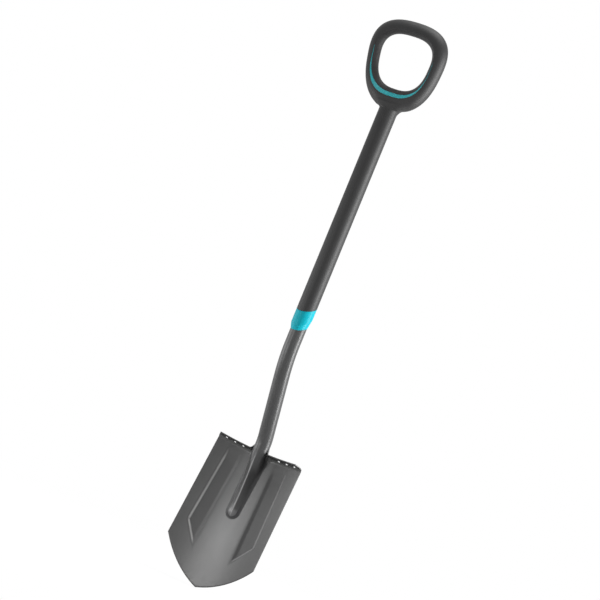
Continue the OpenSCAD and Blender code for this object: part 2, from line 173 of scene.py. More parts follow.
def point_normals(points, quads):
    """Unit normals at the points: the crossed diagonals of the quads round each one, summed."""
    crossed = np.cross(points[quads[:, 2]] - points[quads[:, 0]], points[quads[:, 3]] - points[quads[:, 1]])
    normals = np.zeros_like(points)
    np.add.at(normals, quads.ravel(), np.repeat(crossed, 4, axis=0))
    return normals / np.maximum(np.linalg.norm(normals, axis=1, keepdims=True), 1e-12)


def thicken(points, quads, thickness):
    """The sheet's front, its back at the thickness along the normals, and a wall along every edge."""
    count = len(points)
    back = points - thickness * point_normals(points, quads)
    sides = np.concatenate([quads[:, [0, 1]], quads[:, [1, 2]], quads[:, [2, 3]], quads[:, [3, 0]]])
    sides = sides[sides[:, 0] != sides[:, 1]]
    key = np.sort(sides, axis=1) @ np.array([count, 1])
    _, first, uses = np.unique(key, return_index=True, return_counts=True)
    rim = sides[first[uses == 1]]
    walls = np.stack([rim[:, 1], rim[:, 0], rim[:, 0] + count, rim[:, 1] + count], axis=1)
    return np.concatenate([points, back]), np.concatenate([quads, quads[:, ::-1] + count, walls])


# Points nearer than this, in metres, are one, and edges that turn by more than this stay sharp
merge_gap, sharp_turn = 1e-6, math.radians(35)


def make_piece(name, points, quads, look, marks=None):
    """A mesh object of these points, in millimetres, with poles merged, normals outward and one material.

    Marks are named values, one for each point, that the material reads.
    """
    mesh = bpy.data.meshes.new(name)
    mesh.from_pydata((np.reshape(points, (-1, 3)) * MM).tolist(), [], quads.tolist())
    for mark, values in (marks or {}).items():
        mesh.attributes.new(mark, "FLOAT", "POINT").data.foreach_set("value", values)
    work = bmesh.new()
    work.from_mesh(mesh)
    bmesh.ops.remove_doubles(work, verts=work.verts, dist=merge_gap)
    bmesh.ops.dissolve_degenerate(work, edges=work.edges, dist=merge_gap)
    bmesh.ops.recalc_face_normals(work, faces=work.faces)
    work.to_mesh(mesh)
    work.free()
    mesh.shade_smooth()
    mesh.set_sharp_from_angle(angle=sharp_turn)
    mesh.materials.append(look.material)
    piece = bpy.data.objects.new(name, mesh)
    bpy.context.scene.collection.objects.link(piece)
    return piece


class Wire:
    """One output of a node tree. Sums, differences and products of wires and numbers add Math nodes."""

    def __init__(self, tree, socket):
        self.tree = tree
        self.socket = socket

    def math(self, operation, first, second):
        """A Math node of two values or wires."""
        return self.tree.node("ShaderNodeMath", {"operation": operation}, {0: first, 1: second})

    def __add__(self, other):
        return self.math("ADD", self, other)

    def __sub__(self, other):
        return self.math("SUBTRACT", self, other)

    def __rsub__(self, other):
        return self.math("SUBTRACT", other, self)

    def __mul__(self, other):
        return self.math("MULTIPLY", self, other)

    __radd__ = __add__
    __rmul__ = __mul__


class Tree:
    """A node tree, with one method that adds any node: settings first, then socket values and links."""

    def __init__(self, tree):
        self.tree = tree

    def feed(self, socket, value):
        """Links a wire to the socket, or sets the socket to a plain value."""
        if isinstance(value, Wire):
            self.tree.links.new(value.socket, socket)
        else:
            socket.default_value = value

    def node(self, kind, settings=None, inputs=None, output=0):
        """Adds a node and gives the named or numbered output, if it has any."""
        made = self.tree.nodes.new(kind)
        for name, value in (settings or {}).items():
            setattr(made, name, value)
        for name, value in (inputs or {}).items():
            self.feed(made.inputs[name], value)
        return Wire(self, made.outputs[output]) if made.outputs else None


bump_strength = 0.5


class Look(Tree):
    """A material with one Principled shader, whose constants are set on its own sockets."""

    def __init__(self, name, constants):
        self.material = bpy.data.materials.new(name)
        self.material.use_nodes = True
        super().__init__(self.material.node_tree)
        self.shader = self.tree.nodes["Principled BSDF"]
        for socket, value in constants.items():
            self.shader.inputs[socket].default_value = value
        self.place = self.node("ShaderNodeTexCoord", output="Object")

    def noise(self, scale, detail, stretch=(1, 1, 1)):
        """Noise from 0 to 1 on the object's own coordinates, which the stretch scales along each axis."""
        place = self.node("ShaderNodeMapping", {}, {"Vector": self.place, "Scale": stretch})
        return self.node("ShaderNodeTexNoise", {}, {"Vector": place, "Scale": scale, "Detail": detail})

    def between(self, share, first, second):
        """The colour at a share of the way from the first colour to the second."""
        inputs = {0: share, 6: (*first, 1), 7: (*second, 1)}
        return self.node("ShaderNodeMix", {"data_type": "RGBA", "clamp_factor": True}, inputs, 2)

    def wear(self, colour, roughness, height, bump_mm):
        """Links the varying colour, roughness and bump height to the shader."""
        self.feed(self.shader.inputs["Base Color"], colour)
        self.feed(self.shader.inputs["Roughness"], roughness)
        bump = {"Height": height, "Distance": bump_mm * MM, "Strength": bump_strength}
        self.feed(self.shader.inputs["Normal"], self.node("ShaderNodeBump", {}, bump))


blade_look = Look("graphite_coat", {"Metallic": 0.1, "Specular IOR Level": 0.5})
mottle = blade_look.noise(14, 4)
lines = blade_look.noise(160, 2, (1, 1, 0.06))
grain = blade_look.noise(900, 2)
pressed = blade_look.node("ShaderNodeAttribute", {"attribute_name": "pressed"}, output="Fac")
rubbed = blade_look.node("ShaderNodeAttribute", {"attribute_name": "rubbed"}, output="Fac")
# Mottle and lines are the coat's own; the channels are painted darker as shade, and a highlight is painted on
# their walls
coat = 0.06 * mottle + 0.03 * lines - 0.05 * pressed + rubbed
blade_look.wear(
    blade_look.between(coat, (0.034, 0.034, 0.034), (0.30, 0.30, 0.297)),
    0.27 + 0.06 * mottle + 0.06 * lines + 0.20 * pressed,
    0.6 * lines + 0.4 * grain, 0.06)

# Rows and columns stand closer together along the channels' lower ends and outer walls
point_top, end_top, fold_low, tip_crowding = 60.0, 116.0, fold_start - 10.0, 1.3
point_rows = point_top * np.linspace(0, 1, 37) ** tip_crowding
end_rows = np.linspace(point_top, end_top, 57)[1:]
face_rows = np.linspace(end_top, fold_low, 50)[1:]
fold_rows = np.linspace(fold_low, sheet_top, 66)[1:]
s_rows = np.concatenate([point_rows, end_rows, face_rows, fold_rows])
wall_in, wall_out = 0.68, 0.82
middle_cols = np.linspace(0, wall_in, 58)
wall_cols = np.linspace(wall_in, wall_out, 24)[1:]
side_cols = np.linspace(wall_out, 1, 16)[1:]
right_cols = np.concatenate([middle_cols, wall_cols, side_cols])
q_cols = np.concatenate([-right_cols[:0:-1], right_cols])
grid_s = np.repeat(s_rows[:, None], len(q_cols), axis=1)
grid_x = q_cols[None, :] * half_width(s_rows)[:, None]
x_flat, s_flat = grid_x.ravel(), grid_s.ravel()
blade_quads = quads_of(len(s_rows), len(q_cols))
# The quads inside a hole are left out, and the points round it are drawn onto its circle
for hole_x in hole_xs:
    reach = np.hypot(np.abs(x_flat) - hole_x, s_flat - hole_s)
    inside_hole = reach[blade_quads].mean(axis=1) < hole_r
    on_rim = np.intersect1d(blade_quads[inside_hole], blade_quads[~inside_hole])
    pull = hole_r / reach[on_rim]
    x_flat[on_rim] = np.sign(x_flat[on_rim]) * (hole_x + (np.abs(x_flat[on_rim]) - hole_x) * pull)
    s_flat[on_rim] = hole_s + (s_flat[on_rim] - hole_s) * pull
    blade_quads = blade_quads[~inside_hole]
# The channels' dull share also gives painted shade, and the steep walls get a painted highlight, weaker on
# the right
_, dull_and_shade_share, wall_highlight = channel(x_flat, s_flat)
wall_highlight = wall_highlight * np.where(x_flat < 0, 1, right_highlight_share)
blade = make_piece("blade_sheet", *thicken(blade_face(x_flat, s_flat), blade_quads, sheet_t), blade_look,
                   {"pressed": np.tile(dull_and_shade_share ** dull_and_shade_power, 2), "rubbed": np.tile(wall_highlight, 2)})
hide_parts("blade")
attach(blade, "root")


# Shaft tube
# A round steel tube, bent twice so that the shaft stands over the blade. Its lower end is pressed to a
# tapering finger with a soft ridge, which lies on the blade and ends in a low rounded nose.
# It carries a graphite metallic coat with fine flakes, and a highlight painted light along the ridge.

crank_angle = math.radians(17.8)
lower_turn = crank_angle + blade_lean
upper_bend_r = 220.0
tube_top = sleeve_high.z / MM
finger_l, finger_end_w, finger_end_h = 128.0, 22.0, 6.5
# Shares of the finger's length: pressing starts, pressing full, ridge full, ridge fading to the nose
press_start, press_end, ridge_full, nose_start = 0.04, 0.45, 0.35, 0.85
# How fast the height falls, the ridge's rounding and strength, its loss at the nose, and the back's bulge
fall_power, ridge_round, ridge_share, nose_loss, back_bulge = 1.3, 0.1, 0.9, 0.5, 0.02
ring_sides, axis_steps = 72, 600

foot = to_spade(np.array(0.0), np.array(-seat), np.array(bend_foot))
bend_end = lower_bend_r * lower_turn
bend_y = foot[1] + lower_bend_r * (math.cos(crank_angle) - math.cos(blade_lean))
crank_drop = upper_bend_r * (1 - math.cos(crank_angle))
crank_l = (bend_y - shaft_y - crank_drop) / math.sin(crank_angle)
crank_end = bend_end + crank_l
upper_end = crank_end + upper_bend_r * crank_angle
upper_z = (foot[2] + lower_bend_r * (math.sin(crank_angle) + math.sin(blade_lean))
           + crank_l * math.cos(crank_angle) + upper_bend_r * math.sin(crank_angle))
tube_end = upper_end + tube_top - upper_z


def heading(l):
    """Backward lean of the tube's axis at l above the lower bend: even along each bend, constant between."""
    return np.interp(l, [0, bend_end, crank_end, upper_end], [blade_lean, -crank_angle, -crank_angle, 0])


def tube_axis(l):
    """The axis: the sines and cosines of the heading, summed along its length by trapezoids."""
    fine = np.unique(np.concatenate([l, [0], np.linspace(0, upper_end, axis_steps)]))
    step = np.diff(fine)
    steps_y = (np.sin(heading(fine))[1:] + np.sin(heading(fine))[:-1]) / 2 * step
    steps_z = (np.cos(heading(fine))[1:] + np.cos(heading(fine))[:-1]) / 2 * step
    y = np.concatenate([[0], np.cumsum(steps_y)])
    z = np.concatenate([[0], np.cumsum(steps_z)])
    at_foot = np.searchsorted(fine, 0)
    return (np.interp(l, fine, y - y[at_foot] + foot[1]), np.interp(l, fine, z - z[at_foot] + foot[2]))


def finger_section(share, turn, size):
    """Across and forward of the axis, round the finger at a share of its length.

    The half width shrinks evenly, and the height faster at first. The round section goes over into a front
    that is part half round and part roof with a rounded ridge, and it stands on the line behind the axis
    that touches the blade.
    """
    half_w = tube_r + (finger_end_w / 2 - tube_r) * share
    height = finger_end_h + (2 * tube_r - finger_end_h) * (1 - share) ** fall_power
    sin, cos = np.sin(turn), np.cos(turn)
    drop = np.sqrt(cos ** 2 + ridge_round ** 2) - ridge_round
    roof = 1 - drop / (math.hypot(1, ridge_round) - ridge_round)
    ridged = ridge_share * smooth(0, ridge_full, share) * (1 - nose_loss * smooth(nose_start, 1, share))
    front = np.where(sin > 0, sin + (roof - sin) * ridged, back_bulge * sin)
    pressed = smooth(press_start, press_end, share)
    rise = (1 + sin) / 2 + (front - (1 + sin) / 2) * pressed
    return size * half_w * cos, size * height * rise - tube_r


def swept(l, across, forward):
    """Points across and forward of the tube's axis at l along it, square to the axis."""
    y, z = tube_axis(np.unique(l))
    lookup = np.searchsorted(np.unique(l), l)
    lean = heading(l)
    return np.stack([across, y[lookup] - forward * np.cos(lean), z[lookup] + forward * np.sin(lean)], axis=-1)


nose = np.linspace(math.pi / 2, 0, 12)[:-1]
below = np.linspace(-finger_l, 0, 60)
above = np.concatenate([np.linspace(0, bend_end, 26)[1:], np.linspace(bend_end, crank_end, 22)[1:],
                        np.linspace(crank_end, upper_end, 22)[1:], np.linspace(upper_end, tube_end, 24)[1:]])
l_rows = np.concatenate([-finger_l - finger_end_w / 2 * np.sin(nose), below, above, [tube_end]])
sizes = np.concatenate([np.cos(nose), np.ones(len(below) + len(above)), [0]])
turns = np.linspace(0, 2 * math.pi, ring_sides, endpoint=False)
l_grid = np.repeat(l_rows[:, None], ring_sides, axis=1)
share_grid = np.clip(-l_grid / finger_l, 0, 1)
across, forward = finger_section(share_grid, turns[None, :], sizes[:, None])
forward = np.where(l_grid >= tube_end, forward * sizes[:, None], forward)

# A highlight is painted into the coat along the finger's ridge and a little on its nose
highlight_half_turn, highlight_start, highlight_full = 0.07, 0.02, 0.25
nose_highlight_start, nose_highlight_most = 0.94, 0.35
ridge_highlight = np.exp(-((turns[None, :] - math.pi / 2) / highlight_half_turn) ** 2)
ridge_highlight = ridge_highlight * smooth(highlight_start, highlight_full, share_grid)
nose_highlight = nose_highlight_most * smooth(nose_highlight_start, 1, share_grid) * np.clip(np.sin(turns), 0, 1)[None, :]
tube_highlight = np.maximum(ridge_highlight, nose_highlight)

tube_look = Look("graphite_metallic_coat", {"Metallic": 0.1, "Specular IOR Level": 0.5})
flakes = tube_look.noise(1400, 2)
cloud = tube_look.noise(30, 3)
tube_highlight_mark = tube_look.node("ShaderNodeAttribute", {"attribute_name": "rubbed"}, output="Fac")
# The coat's colour carries a painted highlight along the ridge and on the nose
tube_coat = 0.08 * flakes + 0.06 * cloud + tube_highlight_mark
tube_look.wear(
    tube_look.between(tube_coat, (0.022, 0.022, 0.0225), (0.22, 0.22, 0.222)),
    0.36 + 0.08 * cloud,
    flakes, 0.003)
tube = make_piece("bent_tube", swept(l_grid, across, forward), quads_of(len(l_rows), ring_sides, False, True),
                  tube_look, {"rubbed": tube_highlight.ravel()})
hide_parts("shaft_tube")
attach(tube, "root")


# Socket weld
# The bead that joins the finger to the blade: a hollow fillet up both sides of the finger and round its
# nose. It is weld metal, ground smooth and coated with the tube, so a little duller and uneven.

weld_leg, weld_gap, toe_lift = 4.5, 0.1, 0.15
# Where the bead starts and ends up the side, on the round tube and on the pressed finger
round_low, round_top, pressed_top = math.radians(-60), math.radians(-15), math.radians(32)
# The point that draws the curve in, out and up from the corner as shares of the leg
hollow_out, hollow_up = 0.25, 0.2
weld_start = 0.08
side_steps, arc_steps, profile_steps = 60, 40, 12

side_share = np.linspace(weld_start, 1, side_steps)
arc_turn = np.linspace(0, math.pi, arc_steps)[1:-1]
share_run = np.concatenate([side_share, np.ones(len(arc_turn)), side_share[::-1]])
turn_run = np.concatenate([np.zeros(side_steps), arc_turn, np.full(side_steps, math.pi)])


def weld_profile(share):
    """Out from the middle and forward of the axis: up the finger's side, then down a hollow to the toe.

    The curve is a quadratic Bezier from the top of the side to the toe, drawn in towards the corner.
    """
    pressed = smooth(press_start, press_end, share[:, None])
    low = round_low * (1 - pressed)
    top = round_top + (pressed_top - round_top) * pressed
    up = low + (top - low) * np.linspace(0, 1, profile_steps)[None, :]
    side_x, side_f = finger_section(share[:, None], up, 1.0)
    half_w = tube_r + (finger_end_w / 2 - tube_r) * share[:, None]
    side_x = side_x + weld_gap
    toe_x = half_w + weld_leg
    toe_f = -seat + toe_lift + dish_r - np.sqrt(dish_r ** 2 - toe_x ** 2)
    guide_x = half_w + hollow_out * weld_leg
    guide_f = hollow_up * weld_leg - tube_r
    c = np.linspace(0, 1, profile_steps)[None, 1:]
    curve_x = (1 - c) ** 2 * side_x[:, -1:] + 2 * c * (1 - c) * guide_x + c ** 2 * toe_x
    curve_f = (1 - c) ** 2 * side_f[:, -1:] + 2 * c * (1 - c) * guide_f + c ** 2 * toe_f
    return np.concatenate([side_x, curve_x], axis=1), np.concatenate([side_f, curve_f], axis=1)


def with_tips(sections):
    """A run of sections, with a row added at each end that is drawn together at that section's middle."""
    tips = np.repeat(sections[[0, -1]].mean(axis=1, keepdims=True), sections.shape[1], axis=1)
    return np.concatenate([tips[:1], sections, tips[1:]])


out, weld_forward = weld_profile(share_run)
weld_l = -finger_l * share_run[:, None] - out * np.sin(turn_run)[:, None]
weld_x = out * np.cos(turn_run)[:, None]
weld_points = with_tips(swept(weld_l, weld_x, weld_forward))

weld_look = Look("coated_weld", {"Metallic": 0.1, "Specular IOR Level": 0.35})
ripple = weld_look.noise(260, 2, (1, 1, 0.5))
weld_look.wear(
    weld_look.between(ripple, (0.018, 0.018, 0.0185), (0.040, 0.040, 0.041)),
    0.42 + 0.12 * ripple,
    ripple, 0.25)
weld = make_piece("weld_bead", weld_points, quads_of(*weld_points.shape[:2], False, True), weld_look)
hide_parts("socket_weld")
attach(weld, "root")


# Ferrule
# A moulded collar of turquoise plastic, pushed up the tube against the sleeve. Both rims are cut at a
# slant. It is as wide as the sleeve, and from a steeper slant on it tapers down to the tube.

sleeve_r, bore_r, joint_gap = 18.7, 15.35, 0.1
sleeve_l, ferrule_h, straight_h, ferrule_lip = 403.0, 40.0, 25.0, 0.5
sleeve_foot = tube_top - sleeve_l
ferrule_low, ferrule_top = sleeve_foot - ferrule_h, sleeve_foot - joint_gap
taper_top = sleeve_foot - straight_h
thin_r, rim_round = tube_r + ferrule_lip, 0.7
# The rims' rise for each millimetre to +x and to the back, and how much steeper the taper's upper end is
rim_rise_x, rim_rise_y, taper_slant = 0.107, 0.469, 1.6
# Share of the ferrule's height at each rim that has closer rows
rim_share = 0.02
lathe_sides = 128
lathe_turns = np.linspace(0, 2 * math.pi, lathe_sides, endpoint=False)[None, :]


def rim(z, radius):
    """Height of a slanted rim at a radius: a plane through the axis at z that rises to the back and to +x."""
    return z + radius * (rim_rise_x * np.cos(lathe_turns) + rim_rise_y * np.sin(lathe_turns))


def rounded(distance, radius):
    """How far a rounded edge lies inside the full form, at a distance along it: a quarter circle's height."""
    left = np.clip(1 - distance / radius, 0, 1)
    return radius * (1 - np.sqrt(1 - left ** 2))


def lathe(radius, z):
    """Points about the shaft's axis from radii and heights, row by row."""
    return np.stack([radius * np.cos(lathe_turns), shaft_y + radius * np.sin(lathe_turns),
                     z + 0 * lathe_turns], axis=-1)


low_z = rim(ferrule_low, thin_r)
taper_z = rim(taper_top, taper_slant * sleeve_r)
high_z = rim(ferrule_top, sleeve_r)
edge_shares = rim_share * np.linspace(0, 1, 6) ** 2
middle_shares = np.linspace(rim_share, 1 - rim_share, 40)[1:-1]
along = np.concatenate([edge_shares, middle_shares, 1 - edge_shares[::-1]])[:, None]
outer_z = low_z + (high_z - low_z) * along
from_rim = np.minimum(outer_z - low_z, high_z - outer_z)
widening = np.clip((outer_z - low_z) / (taper_z - low_z), 0, 1)
outer_r = thin_r + (sleeve_r - thin_r) * widening - rounded(from_rim, rim_round)
bore_row = np.full((1, lathe_sides), bore_r)
ferrule_r = np.concatenate([bore_row, outer_r, bore_row])
ferrule_z = np.concatenate([rim(ferrule_low, bore_r), outer_z, rim(ferrule_top, bore_r)])

turquoise = Look("turquoise_plastic", {"Specular IOR Level": 0.12})
cloudy = turquoise.noise(60, 3)
pebble = turquoise.noise(1100, 2)
turquoise.wear(
    turquoise.between(cloudy, (0.002, 0.275, 0.34), (0.004, 0.305, 0.37)),
    0.32 + 0.08 * cloudy,
    pebble, 0.004)
ferrule = make_piece("slanted_collar", lathe(ferrule_r, ferrule_z),
                     quads_of(len(ferrule_r), lathe_sides, True, True), turquoise)
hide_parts("ferrule")
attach(ferrule, "root")


# Shaft sleeve
# A long sleeve of charcoal plastic over the upper tube, from the ferrule's slanted rim to the handle.
# It is moulded matte, with a fine grain. The place of the maker's lettering is left bare.

# The rounding of the foot's edge, and the share of the length there that has closer rows
sleeve_round, foot_share = 0.4, 0.002
sleeve_low_z = rim(sleeve_foot, sleeve_r)
foot_shares = foot_share * np.linspace(0, 1, 5)
sleeve_share = np.concatenate([foot_shares, np.linspace(foot_share, 1, 60)[1:]])[:, None]
sleeve_z = sleeve_low_z + (tube_top - sleeve_low_z) * sleeve_share
sleeve_outer = sleeve_r - rounded(sleeve_z - sleeve_low_z, sleeve_round)
sleeve_rows_r = np.concatenate([bore_row, sleeve_outer, bore_row])
sleeve_rows_z = np.concatenate([rim(sleeve_foot, bore_r), sleeve_z, np.full((1, lathe_sides), tube_top)])

charcoal = Look("charcoal_plastic", {"Specular IOR Level": 0.40})
shade = charcoal.noise(45, 3)
moulded = charcoal.noise(1300, 2)
charcoal.wear(
    charcoal.between(0.6 * shade + 0.4 * moulded, (0.008, 0.008, 0.0083), (0.015, 0.015, 0.0154)),
    0.48 + 0.06 * shade + 0.06 * moulded,
    moulded, 0.06)
sleeve = make_piece("grained_sleeve", lathe(sleeve_rows_r, sleeve_rows_z),
                    quads_of(len(sleeve_rows_r), lathe_sides, True, True), charcoal)
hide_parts("shaft_sleeve")
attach(sleeve, "root")


# Handle frame
# A closed D of the same charcoal plastic, moulded in one with its neck, which carries on from the sleeve
# and spreads into the web below the opening. Its bars are round outside, and it leans forward.

handle_lean = math.radians(10.8)
neck_l = 12.0
neck_z = tube_top + joint_gap + neck_l
handle_w, handle_h, opening_w, opening_h, web_h = 158.0, 174.0, 108.0, 105.0, 41.0
outer_power, outer_taper, inner_power, inner_taper = 2.6, 0.166, 2.7, 0.114
grip_depth, web_extra = 30.0, 4.0
liner_t, inlay_w, inlay_fade = 8.6, 7.4, 3.2
section_turn = math.radians(105)
loop_steps, section_steps, bottom_crowding = 320, 65, 0.55
# Heights between which the sections turn from level to the handle's lean
level_below, leant_above = -8.0, 6.0
# The neck's form in the web: the height over which it sinks to the bars' depth, what it loses further up
# and between which shares of that height, the power of its oval, and how sharply it joins the bars
neck_sink, sink_more, sink_from, sink_to = 20.0, 0.35, 0.6, 1.2
oval_power, joining_power = 2.2, 10
# The bars' crest behind their middle, and where it comes in: across from the neck, and up from it
crest_back, crest_near, crest_far, crest_low, crest_high = 4.5, 18.0, 40.0, 30.0, 60.0
# The hollow round the neck: its middle radius, its swing from front to back, its least radius, and the
# heights over which it fades
fillet_middle, fillet_swing, fillet_least, fillet_low, fillet_high = 6.0, 7.5, 1.5, 6.0, 20.0


def signed_power(value, power):
    """The power of the value's size, with the value's sign."""
    return np.sign(value) * np.abs(value) ** power


def loop(turn, half_w, half_h, middle, power, taper):
    """A rounded loop: a superellipse whose width grows evenly with its height."""
    sin, cos = signed_power(np.sin(turn), 2 / power), signed_power(np.cos(turn), 2 / power)
    return half_w * (1 + taper * sin) * cos, middle + half_h * sin


def outer_loop(turn):
    """The handle's outer loop."""
    return loop(turn, handle_w / 2, handle_h / 2, handle_h / 2, outer_power, outer_taper)


def opening_loop(turn, grow):
    """The hand opening's loop, grown outwards."""
    middle = web_h + opening_h / 2
    return loop(turn, opening_w / 2 + grow, opening_h / 2 + grow, middle, inner_power, inner_taper)


def inlay_width(turn):
    """Full at the bottom of the opening, fading up both arms as a power of the height left above."""
    return inlay_w * ((1 - np.sin(turn)) / 2) ** inlay_fade


def bar_half(turn):
    """Half depth of the bars, a little more towards the neck."""
    return grip_depth / 2 + web_extra / 2 * np.maximum(0, -np.sin(turn)) ** 2


def wall_half(turn):
    """Half depth of the bars where their round side ends at the opening."""
    return bar_half(turn) * math.sin(section_turn)


def to_handle(x, depth, height):
    """From the handle's own frame, depth negative to the front, to the spade's frame.

    Below zero height the neck goes on straight down the shaft, and its sections turn level on the way.
    """
    lean = handle_lean * smooth(level_below, leant_above, height)
    up = np.maximum(height, 0)
    y = shaft_y + depth * np.cos(lean) - up * math.sin(handle_lean)
    z = neck_z + depth * np.sin(lean) + up * math.cos(handle_lean) + np.minimum(height, 0)
    return np.stack(np.broadcast_arrays(x, y, z), axis=-1)


def neck_spread(x, height):
    """Half depth of the form that carries the round neck over into the web, at x across and a height.

    A rounded oval, as wide as the loop at that height and as deep as the neck, which sinks into the web.
    """
    share = np.clip(height / (handle_h / 2) - 1, -1, 1)
    width = handle_w / 2 * (1 + outer_taper * share) * (1 - np.abs(share) ** outer_power) ** (1 / outer_power)
    across = np.clip(np.abs(x) / np.maximum(width, sleeve_r), 0, 1)
    deep = sleeve_r - (sleeve_r - bar_half(-math.pi / 2)) * np.clip(height, 0, None) / neck_sink
    deep = deep * (1 - sink_more * smooth(sink_from * neck_sink, sink_to * neck_sink, height))
    return deep * (1 - across ** oval_power) ** (1 / oval_power)


# The loop's points stand closer together at the bottom, where the neck joins
from_bottom = np.linspace(-math.pi, math.pi, loop_steps, endpoint=False)
loop_turn = (from_bottom - bottom_crowding * np.sin(from_bottom) - math.pi / 2)[:, None]
around = np.linspace(section_turn, -section_turn, section_steps)[None, :]
least = math.cos(section_turn)
out_share = (np.cos(around) - least) / (1 - least)
near_x, near_z = opening_loop(loop_turn, liner_t + joint_gap + inlay_width(loop_turn))
far_x, far_z = outer_loop(loop_turn)
bar_x = near_x + (far_x - near_x) * out_share
bar_z = near_z + (far_z - near_z) * out_share
bar_depth = bar_half(loop_turn) * np.sin(around)
spread = neck_spread(bar_x, bar_z)
joined = (np.abs(bar_depth) ** joining_power + spread ** joining_power) ** (1 / joining_power)
bar_depth = np.sign(bar_depth) * joined
# Away from the neck the crest of the bars lies a little behind their middle
at_neck = (1 - smooth(crest_near, crest_far, np.abs(bar_x))) * (1 - smooth(crest_low, crest_high, bar_z))
bar_depth = bar_depth + crest_back * out_share * (1 - at_neck)
# Round the neck the underside is drawn down in a hollow fillet, wider at the back than at the front
from_axis = np.hypot(bar_x, bar_depth)
fillet = np.maximum(fillet_least, fillet_middle + fillet_swing * bar_depth / np.maximum(from_axis, 1))
outside = np.clip((from_axis - sleeve_r) / fillet, 0, 1)
pull_down = fillet * (1 - np.sqrt(1 - (1 - outside) ** 2))
bar_z = bar_z - pull_down * (1 - smooth(fillet_low, fillet_high, bar_z))
bar_points = to_handle(bar_x, bar_depth, bar_z)
bar_quads = quads_of(loop_steps, section_steps, True, True)

# The round neck ends inside the web, where it has drawn in by this much
neck_high, neck_draw, neck_steps = 8.0, 1.0, 30
neck_rows = np.concatenate([[-neck_l], np.linspace(-neck_l, neck_high, neck_steps), [neck_high]])[:, None]
neck_r = sleeve_r - neck_draw * smooth(0, neck_high, neck_rows)
neck_size = np.concatenate([[0], np.ones(neck_steps), [0]])[:, None] * neck_r
neck_points = to_handle(neck_size * np.cos(lathe_turns), neck_size * np.sin(lathe_turns), neck_rows)
neck_quads = quads_of(len(neck_rows), lathe_sides, False, True) + bar_points[..., 0].size
frame_points = np.concatenate([bar_points.reshape(-1, 3), neck_points.reshape(-1, 3)])
handle = make_piece("d_handle", frame_points, np.concatenate([bar_quads, neck_quads]), charcoal)
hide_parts("handle_frame")
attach(handle, "root")


# Handle liner
# The inner wall of the hand opening, a bulged ring of slightly lighter charcoal plastic moulded into the
# frame. At the bottom it is narrower, which leaves room for the inlay.

flare_share = 0.88
liner_flare = flare_share * liner_t
liner_steps, barrel_steps = 240, 25
liner_turn = np.linspace(0, 2 * math.pi, liner_steps, endpoint=False)[:, None]
liner_half = wall_half(liner_turn) - inlay_width(liner_turn)
barrel = np.linspace(-1, 1, barrel_steps)
liner_grow = np.concatenate([[liner_t], liner_flare * barrel ** 2, [liner_t]])[None, :]
liner_depth = liner_half * np.concatenate([[-1], barrel, [1]])[None, :]
liner_x, liner_z = opening_loop(liner_turn, liner_grow)

liner_look = Look("liner_plastic", {"Specular IOR Level": 0.3})
liner_shade = liner_look.noise(45, 3)
liner_grain = liner_look.noise(1300, 2)
liner_look.wear(
    liner_look.between(0.6 * liner_shade + 0.4 * liner_grain, (0.020, 0.0195, 0.020), (0.029, 0.028, 0.029)),
    0.45 + 0.08 * liner_shade + 0.06 * liner_grain,
    liner_grain, 0.10)
liner = make_piece("opening_liner", to_handle(liner_x, liner_depth, liner_z),
                   quads_of(liner_steps, liner_grow.size, True, True), liner_look)
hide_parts("handle_liner")
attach(liner, "root")


# Handle inlay
# A crescent of turquoise plastic, moulded into the slope between frame and liner, front and back. It is
# widest at the bottom of the opening and runs out up both arms.

# How far past half way up the arms the crescent runs, and how far its face bulges
inlay_top, crown_h = math.radians(10), 0.25
inlay_steps, slope_steps = 200, 9
inlay_turn = np.linspace(math.pi - inlay_top, 2 * math.pi + inlay_top, inlay_steps)[:, None]
slope = np.linspace(0, 1, slope_steps)[None, :]
crown = crown_h * np.sin(math.pi * slope) * inlay_width(inlay_turn) / inlay_w
inlay_grow = liner_t + joint_gap + (inlay_width(inlay_turn) - joint_gap / 2) * (1 - slope) - crown
inlay_depth = wall_half(inlay_turn) - inlay_width(inlay_turn) * slope + crown
inlay_grow = np.concatenate([inlay_grow, inlay_grow[:, ::-1]], axis=1)
inlay_depth = np.concatenate([-inlay_depth, inlay_depth[:, ::-1]], axis=1)
inlay_x, inlay_z = opening_loop(inlay_turn, inlay_grow)
inlay_points = with_tips(to_handle(inlay_x, inlay_depth, inlay_z))

inlay_look = Look("turquoise_inlay", {"Specular IOR Level": 0.3})
inlay_cloud = inlay_look.noise(60, 3)
inlay_grain = inlay_look.noise(1100, 2)
inlay_look.wear(
    inlay_look.between(inlay_cloud, (0.02, 0.34, 0.38), (0.03, 0.39, 0.43)),
    0.40 + 0.08 * inlay_cloud + 0.05 * inlay_grain,
    inlay_grain, 0.05)
inlay = make_piece("turquoise_crescent", inlay_points, quads_of(*inlay_points.shape[:2], False, True),
                   inlay_look)
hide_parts("handle_inlay")
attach(inlay, "root")


# Handle pin
# The plain steel cross pin through tube and spigot, drawn bar cut to length. It is hidden under the
# sleeve, so the solid itself stays and gets a bright steel finish.

pin_look = Look("drawn_steel", {"Metallic": 1.0})
drawn = pin_look.noise(500, 2, (0.05, 1, 1))
pin_look.wear(
    pin_look.between(drawn, (0.42, 0.42, 0.43), (0.58, 0.58, 0.59)),
    0.28 + 0.12 * drawn,
    drawn, 0.02)
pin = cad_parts["handle_pin"]
pin.data.materials.clear()
pin.data.materials.append(pin_look.material)


# Floor and world
# A plain white studio floor and a white surround. The camera and mirrored rays see both as white; near the
# spade's foot the floor keeps part of its plain look, so the shadow stays.

# Metres: half the floor's side, and how far from the foot its plain look reaches; and its white share there
floor_half, plain_reach, foot_white = 30.0, 0.9, 0.88
floor_mesh = bpy.data.meshes.new("floor")
corners = [(-floor_half, -floor_half, 0), (floor_half, -floor_half, 0),
           (floor_half, floor_half, 0), (-floor_half, floor_half, 0)]
floor_mesh.from_pydata(corners, [], [(0, 1, 2, 3)])
floor = bpy.data.objects.new("floor", floor_mesh)
bpy.context.scene.collection.objects.link(floor)


